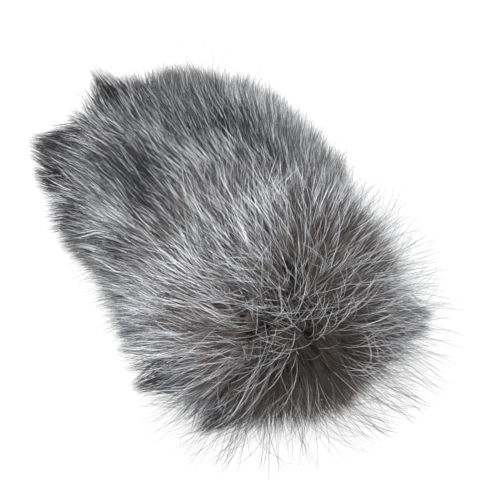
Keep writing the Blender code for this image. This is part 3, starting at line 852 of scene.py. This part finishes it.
lay_hairs("undercoat", path, half, column, turn, undercoat)

# Guard hairs
# Long, slick silver hairs grow through the undercoat in locks, each lock of a few wisps. Many of
# them end in a dark tip, and these gather into dark patches. Some locks stand out as tufts.
# Colour from root to tip: the dark lower part is partly the hair's own colour and partly painted shade
# deep in the pile.
guard_stops = [
    (0.0, (0.020, 0.017, 0.016)),
    (0.28, (0.085, 0.079, 0.077)),
    (0.5, (0.44, 0.448, 0.47)),
    (1.0, (0.60, 0.61, 0.64)),
]
guard = hair_material("guard_hair", guard_stops, (0.017, 0.018, 0.022), spread=0.94, roughness=0.34)
LOCKS, WISPS, HAIRS, GUARD_STEPS = 3400, 13, 2, 3
GUARD_NOSE, GUARD_BODY = 0.042, 0.049
GUARD_HALF = (0.00010, 0.00013, 0.00013, 0.0)
LOCK_SPREAD, HAIR_GAP, HAIR_PART = 0.0026, 0.0005, 0.0010
dice = np.random.default_rng(21)
lock_along, lock_turn = spread_roots(LOCKS, 22)
lock = np.repeat(np.arange(LOCKS), WISPS)
offset = dice.normal(0, LOCK_SPREAD, (2, len(lock)))
along = np.minimum(np.abs(lock_along[lock] + offset[0]), fine[-1])
turn = lock_turn[lock] + offset[1] / np.maximum(np.interp(along, fine, fine_r), 0.003)


def guard_paths(along, turn, seed, wander):
    """Long hairs: shorter and more upright on the nose, longer and flatter down the body."""
    dice = np.random.default_rng(seed)
    body = soft_step(along, 0.010, 0.060)
    rim = soft_step(along, fine[-1] - 0.030, fine[-1])
    length = GUARD_NOSE + (GUARD_BODY - GUARD_NOSE) * body
    length = length * (1 - 0.12 * rim) * dice.uniform(0.82, 1.10, len(along))
    crown = 1 - soft_step(along, 0.012, 0.036)
    shoulder = soft_step(along, 0.018, 0.036) * (1 - soft_step(along, 0.06, 0.09))
    tousled = 1 - soft_step(along, 0.03, 0.075)
    jitter = (0.08 + 0.14 * tousled) * dice.normal(size=(2, len(along)))
    swept = 0.35 * crown + 0.2 * shoulder + lean_shift(along, turn)
    lean_root = 0.30 + 0.25 * body + swept + jitter[0]
    lean_tip = 0.95 + 0.17 * body + swept + jitter[1]
    wander = wander + 0.3 * tousled
    return grow(
        along, turn, length, lean_root, lean_tip,
        droop=0.16, wander=wander, crinkle=0.035, seed=seed, steps=GUARD_STEPS,
    )


# Patches of the nose where the long hairs are few: centre and radii
NOSE_FRONT = ((0.008, -0.080, AXIS_Z - 0.021), (0.048, 0.050, 0.049))
NOSE_RIGHT = ((0.034, -0.062, AXIS_Z + 0.018), (0.024, 0.030, 0.027))
NOSE_THIN = ((0.044, -0.088, AXIS_Z + 0.024), (0.018, 0.024, 0.019))
CHIN_THIN = ((-0.026, -0.096, AXIS_Z - 0.024), (0.028, 0.024, 0.021))


def plush(root, patch):
    """1 inside a patch of this centre and radii, where the nose shows its undercoat, and 0 far off."""
    centre, radii = patch
    return 1 - soft_step(np.linalg.norm((root - centre) / radii, axis=1), 0.55, 1.2)


def around(places):
    """Points from rows of place along the axis, angle from the zip side in degrees, and radius."""
    return round_axis(places[:, 2], places[:, 0], np.radians(places[:, 1]))


share = (np.arange(GUARD_STEPS + 1) / GUARD_STEPS)[:, None]
middle = guard_paths(lock_along, lock_turn, seed=23, wander=0.15)
# Tufts that stand out of the outline: place along the axis, angle, radius, and reach
TUFTS = np.array(
    [
        (0.1220, 163, 0.0800, 0.024),
        (0.1000, 178, 0.0785, 0.010),
        (0.1220, 121, 0.0730, 0.020),
        (0.1205, 88, 0.0700, 0.009),
        (0.1180, 46, 0.0735, 0.010),
        (-0.076, 342, 0.0785, 0.016),
        (-0.073, 354, 0.0790, 0.016),
        (0.040, 178, 0.0785, 0.010),
        (0.020, 172, 0.0770, 0.012),
        (-0.030, 193, 0.0790, 0.012),
        (-0.050, 200, 0.0810, 0.014),
        (-0.060, 203, 0.0800, 0.013),
        (-0.080, 221, 0.0700, 0.013),
    ]
)
tuft_tip = around(TUFTS)
gap = tuft_tip[None] - middle[-1][:, None]
drawn = 1 - soft_step(np.linalg.norm(gap, axis=2) / TUFTS[:, 3], 0.5, 1.7)
drawn = drawn / np.maximum(drawn.sum(1, keepdims=True), 1)
tufted = drawn.sum(1)
middle = middle + (share**1.5)[..., None] * (drawn[..., None] * gap).sum(1)
# How few and dark the long hairs are on the nose, and how few below it on the chin, where
# they are also painted darker as shade under the nose
loose = np.maximum(plush(middle[0], NOSE_FRONT), 0.9 * plush(middle[0], NOSE_RIGHT))
loose = np.maximum(loose, 0.85 * plush(middle[2], NOSE_THIN))
loose = np.maximum(loose, plush(middle[2], CHIN_THIN))
loose = (loose * (1 - tufted))[lock]
chin = loose * (1 - soft_step(middle[2][:, 2], AXIS_Z - 0.028, AXIS_Z - 0.010))[lock]
wisp = guard_paths(along, turn, seed=23, wander=0.15 + 0.30 * loose)
gather = dice.uniform(0.1, 0.95, LOCKS) ** 1.5
gather = np.maximum(gather, tufted)[lock] * (1 - 0.6 * loose)
pull = (gather * (0.85 + 0.1 * tufted[lock]) * share**1.3)[..., None]
wisp = wisp + pull * (middle[:, lock] - wisp)
# Dark and light patches: place along the axis, angle, radius, reach, and strength
PATCHES = np.array(
    [
        (0.115, 121, 0.068, 0.011, 0.4),
        (0.072, 124, 0.064, 0.011, 0.5),
        (0.053, 114, 0.064, 0.010, 0.5),
        (0.033, 102, 0.064, 0.010, 0.65),
        (0.023, 89, 0.064, 0.011, 0.5),
        (0.016, 75, 0.064, 0.011, 0.5),
        (-0.014, 71, 0.064, 0.009, 0.4),
        (0.055, 73, 0.064, 0.013, 0.3),
        (0.062, 151, 0.064, 0.011, 0.5),
        (0.037, 143, 0.064, 0.011, 1.0),
        (0.024, 129, 0.064, 0.009, 0.7),
        (0.000, 140, 0.064, 0.011, 1.2),
        (-0.027, 139, 0.064, 0.009, 1.1),
        (0.116, 164, 0.072, 0.012, -0.2),
        (0.056, 190, 0.064, 0.012, 0.2),
        (-0.060, 205, 0.073, 0.011, 0.8),
        (-0.074, 341, 0.073, 0.010, 1.1),
        (-0.018, 108, 0.064, 0.011, -0.8),
        (-0.043, 143, 0.064, 0.010, -0.9),
        (0.016, 156, 0.064, 0.010, -0.5),
        (0.042, 121, 0.064, 0.007, -0.5),
        (-0.060, 118, 0.064, 0.014, 0.3),
        (0.008, 169, 0.064, 0.014, -0.6),
        (-0.053, 98, 0.064, 0.012, -0.3),
        (-0.072, 166, 0.059, 0.012, 0.2),
        (-0.050, 167, 0.064, 0.014, -0.4),
        (-0.086, 183, 0.050, 0.011, -0.9),
    ]
)
outer_part = middle[2] + 0.25 * (middle[3] - middle[2])
gap = np.linalg.norm(outer_part[:, None, :] - around(PATCHES), axis=2)
patch = (PATCHES[:, 4] * np.exp(-0.5 * (gap / PATCHES[:, 3]) ** 2)).sum(1)
patch = patch + 0.3 * waves(middle[-1], 0.045, 24) + 0.4 * waves(middle[-1], 0.014, 25)
rear = soft_step(middle[-1][:, 1], -0.03, 0.10)
tip = 0.30 + 0.5 * patch[lock] + 0.15 * tufted[lock] - 0.15 * loose
tip = tip + dice.normal(0, 0.25, len(lock))
# On the chin the hairs are made darker: painted shade under the nose.
shade = 0.42 + 0.29 * rear[lock] + 0.10 * waves(wisp[0], 0.03, 26) - 0.17 * loose - 0.30 * chin
shade = shade - np.where(patch < 0, 0.16, 0.04)[lock] * np.clip(patch, -1.2, 1.2)[lock]
shade = shade + dice.normal(0, 0.26, LOCKS)[lock]
# Each wisp is two hairs that lie side by side and part towards their tips
hair = np.repeat(np.arange(len(lock)), HAIRS)
hair = hair[dice.uniform(size=len(hair)) > 0.84 * loose[hair] + 0.13 * chin[hair]]
close = dice.normal(0, HAIR_GAP, (len(hair), 3))
parted = dice.normal(0, HAIR_PART, (len(hair), 3))
cut = 1 - dice.uniform(0, 0.2, len(hair)) * (1 - 0.6 * tufted[lock[hair]])
path = wisp[0, hair] + (wisp[:, hair] - wisp[0, hair]) * cut[:, None]
path = path + close + (share**1.5)[..., None] * parted
path[..., 2] = np.maximum(path[..., 2], FLOOR_GAP)
thick = 1 - 0.2 * loose[hair] + 0.4 * tufted[lock[hair]]
half = np.outer(GUARD_HALF, thick)
dark_ended = dice.uniform(size=len(hair)) < (0.18 + 0.34 * rear[lock[hair]]) * (1 - loose[hair])
tip = np.clip(tip[hair] + 0.45 * dark_ended + dice.normal(0, 0.1, len(hair)), 0, 0.999)
mixed = 0.58 * np.sin(dice.uniform(-math.pi / 2, math.pi / 2, len(hair)))
shade = np.clip(shade[hair] + mixed, 0, 0.999)
lay_hairs("guard_hair", path, half, columns_of(tip, shade), turn[hair], guard)

# Tangled hairs
# On the nose, single white guard hairs have worked loose from their locks and cross each other. The
# ones that hang down over the chin are painted darker, as shade under the nose.
TANGLES, TANGLE_STEPS, TANGLE_LENGTH = 2600, 7, (0.044, 0.058)
TANGLE_HALF = np.append(np.linspace(0.00009, 0.00007, TANGLE_STEPS), 0)
dice = np.random.default_rng(41)
along, turn = spread_roots(TANGLES * 6, 42)
place = backing_at(along, turn)[0]
upper = soft_step(place[:, 2], AXIS_Z - 0.022, AXIS_Z + 0.004)
often = plush(place, NOSE_FRONT) * (0.03 + 0.97 * upper)
chosen = dice.permutation(np.flatnonzero(dice.uniform(size=len(along)) < often))[:TANGLES]
along, turn = along[chosen], turn[chosen]
length = dice.uniform(*TANGLE_LENGTH, len(chosen))
lean_root = dice.uniform(0.0, 0.4, len(chosen))
lean_tip = dice.uniform(1.1, 1.8, len(chosen))
path = grow(
    along, turn, length, lean_root, lean_tip,
    droop=0.03, wander=0.9, crinkle=0.05, seed=43, steps=TANGLE_STEPS, onset=1.8,
)
half = np.outer(TANGLE_HALF, np.ones(len(chosen)))
# Tangles that end low, under the nose, get painted shade.
hanging_shaded = 1 - soft_step(path[-2][:, 2], AXIS_Z - 0.034, AXIS_Z - 0.010)
tip = dice.uniform(0, 0.5, len(chosen))
shade = dice.uniform(0.25, 0.95, len(chosen)) - 0.45 * hanging_shaded
column = columns_of(tip, shade)
lay_hairs("tangled_hair", path, half, column, turn, guard)

# Stray hairs
# A few of the longest guard hairs stand out of the pile at odd angles, most of them on the nose. They
# are dark, and show as thin lines against the light.
STRAYS, STRAY_STEPS = 1800, 6
STRAY_LENGTH, STRAY_MORE = (0.038, 0.050), 0.014
STRAY_HALF = np.append(np.linspace(0.0001, 0.00006, STRAY_STEPS), 0)
dice = np.random.default_rng(31)
along, turn = spread_roots(STRAYS * 3, 32)
front = 0.16 + 0.84 * plush(backing_at(along, turn)[0], NOSE_FRONT)
chosen = dice.permutation(np.flatnonzero(dice.uniform(size=len(along)) < front))[:STRAYS]
along, turn, front = along[chosen], turn[chosen], front[chosen]
length = dice.uniform(*STRAY_LENGTH, len(chosen)) + STRAY_MORE * front
lean_root = dice.uniform(0.2, 0.6, len(chosen)) - 0.2 * front
lean_tip = lean_root + dice.uniform(0.0, 0.45, len(chosen))
path = grow(
    along, turn, length, lean_root, lean_tip,
    droop=0.12, wander=0.3 + 0.5 * front, crinkle=0.03, seed=33, steps=STRAY_STEPS,
)
half = np.outer(STRAY_HALF, np.ones(len(chosen)))
shade = dice.uniform(0.05, 0.6, len(chosen)) - 0.3 * front
column = columns_of(dice.uniform(0.5, 1, len(chosen)), shade)
lay_hairs("stray_hair", path, half, column, turn, guard)

# Setting
# A pale floor and backdrop, a soft lamp on the left ahead of the object, and two larger, weaker ones
# on the right, one ahead and one behind.
FLOOR_HALF = 6.0
FLOOR_SHOWN, FLOOR_LIFT, FLOOR_BOUNCE, ROOM_LIGHT = 0.2, 0.85, 0.8, 0.6
FLOOR_CORNERS = np.array([(-1, -1, 0), (1, -1, 0), (1, 1, 0), (-1, 1, 0)])
floor_mesh = bpy.data.meshes.new("floor")
floor_mesh.from_pydata(FLOOR_HALF * FLOOR_CORNERS, [], [(0, 1, 2, 3)])
floor = new_object("floor", floor_mesh)


def seen_directly(tree):
    """1 where the camera sees the surface itself, in a mirror or through glass, and 0 for its light."""
    ray = add(tree, "ShaderNodeLightPath")
    seen = maths(tree, "MAXIMUM", ray.outputs["Is Camera Ray"], ray.outputs["Is Glossy Ray"])
    return maths(tree, "MAXIMUM", seen, ray.outputs["Is Transmission Ray"])


pale, tree, shader = new_material("pale_floor")
tree.nodes.remove(shader)
shown = add(tree, "ShaderNodeBsdfDiffuse", [(0, (FLOOR_SHOWN, FLOOR_SHOWN, FLOOR_SHOWN, 1))])
lift = add(tree, "ShaderNodeEmission", [(0, (1, 1, 1, 1)), (1, FLOOR_LIFT)])
shown_lifted = add(tree, "ShaderNodeAddShader", [(0, shown.outputs[0]), (1, lift.outputs[0])])
bounce = add(tree, "ShaderNodeBsdfDiffuse", [(0, (FLOOR_BOUNCE, FLOOR_BOUNCE, FLOOR_BOUNCE, 1))])
links = [(0, seen_directly(tree)), (1, bounce.outputs[0]), (2, shown_lifted.outputs[0])]
surface = add(tree, "ShaderNodeMixShader", links)
tree.links.new(surface.outputs[0], tree.nodes["Material Output"].inputs[0])
floor_mesh.materials.append(pale)

world = bpy.data.worlds.new("soft_room")
world.use_nodes = True
bpy.context.scene.world = world
tree = world.node_tree
sky = tree.nodes["Background"]
sky.inputs[0].default_value = (1, 1, 1, 1)
room = add(tree, "ShaderNodeBackground", [(0, (1, 1, 1, 1)), (1, ROOM_LIGHT)])
links = [(0, seen_directly(tree)), (1, room.outputs[0]), (2, sky.outputs[0])]
backdrop = add(tree, "ShaderNodeMixShader", links)
tree.links.new(backdrop.outputs[0], tree.nodes["World Output"].inputs[0])


def soft_lamp(name, place, target, size, power):
    """A square area lamp that faces a point."""
    data = bpy.data.lights.new(name, "AREA")
    data.size = size
    data.energy = power
    lamp = new_object(name, data)
    lamp.location = place
    lamp.rotation_euler = (target - Vector(place)).to_track_quat("-Z", "Y").to_euler()


lit_point = Vector((0, 0, 0.05))
soft_lamp("key_lamp", (-0.9, -0.45, 1.0), lit_point, size=0.45, power=20)
soft_lamp("fill_lamp", (0.7, -1.1, 0.8), lit_point, size=1.0, power=6)
soft_lamp("rear_lamp", (0.8, 0.9, 0.7), lit_point, size=1.0, power=7)

# Camera
# It stands ahead of the nose, to the left of it and above, as in the photograph. Its long lens shows
# the tail hardly smaller than the nose.
AZIMUTH, ELEVATION, DISTANCE = math.radians(-22.0), math.radians(30.0), 0.80
LENS, SENSOR = 113.5, 36.0
AIM_RIGHT, AIM_UP = 0.0075, 0.0012
back = np.array(
    [
        math.sin(AZIMUTH) * math.cos(ELEVATION),
        -math.cos(AZIMUTH) * math.cos(ELEVATION),
        math.sin(ELEVATION),
    ]
)
right = np.array([math.cos(AZIMUTH), math.sin(AZIMUTH), 0.0])
up = np.cross(back, right)
aim = np.array([0.0, 0.0, AXIS_Z]) + AIM_RIGHT * right + AIM_UP * up
camera_data = bpy.data.cameras.new("camera")
camera_data.lens = LENS
camera_data.sensor_width = SENSOR
camera = new_object("camera", camera_data)
camera.location = aim + DISTANCE * back
camera.rotation_euler = Vector(-back).to_track_quat("-Z", "Y").to_euler()
bpy.context.scene.camera = camera
bpy.context.scene.view_settings.view_transform = "Standard"
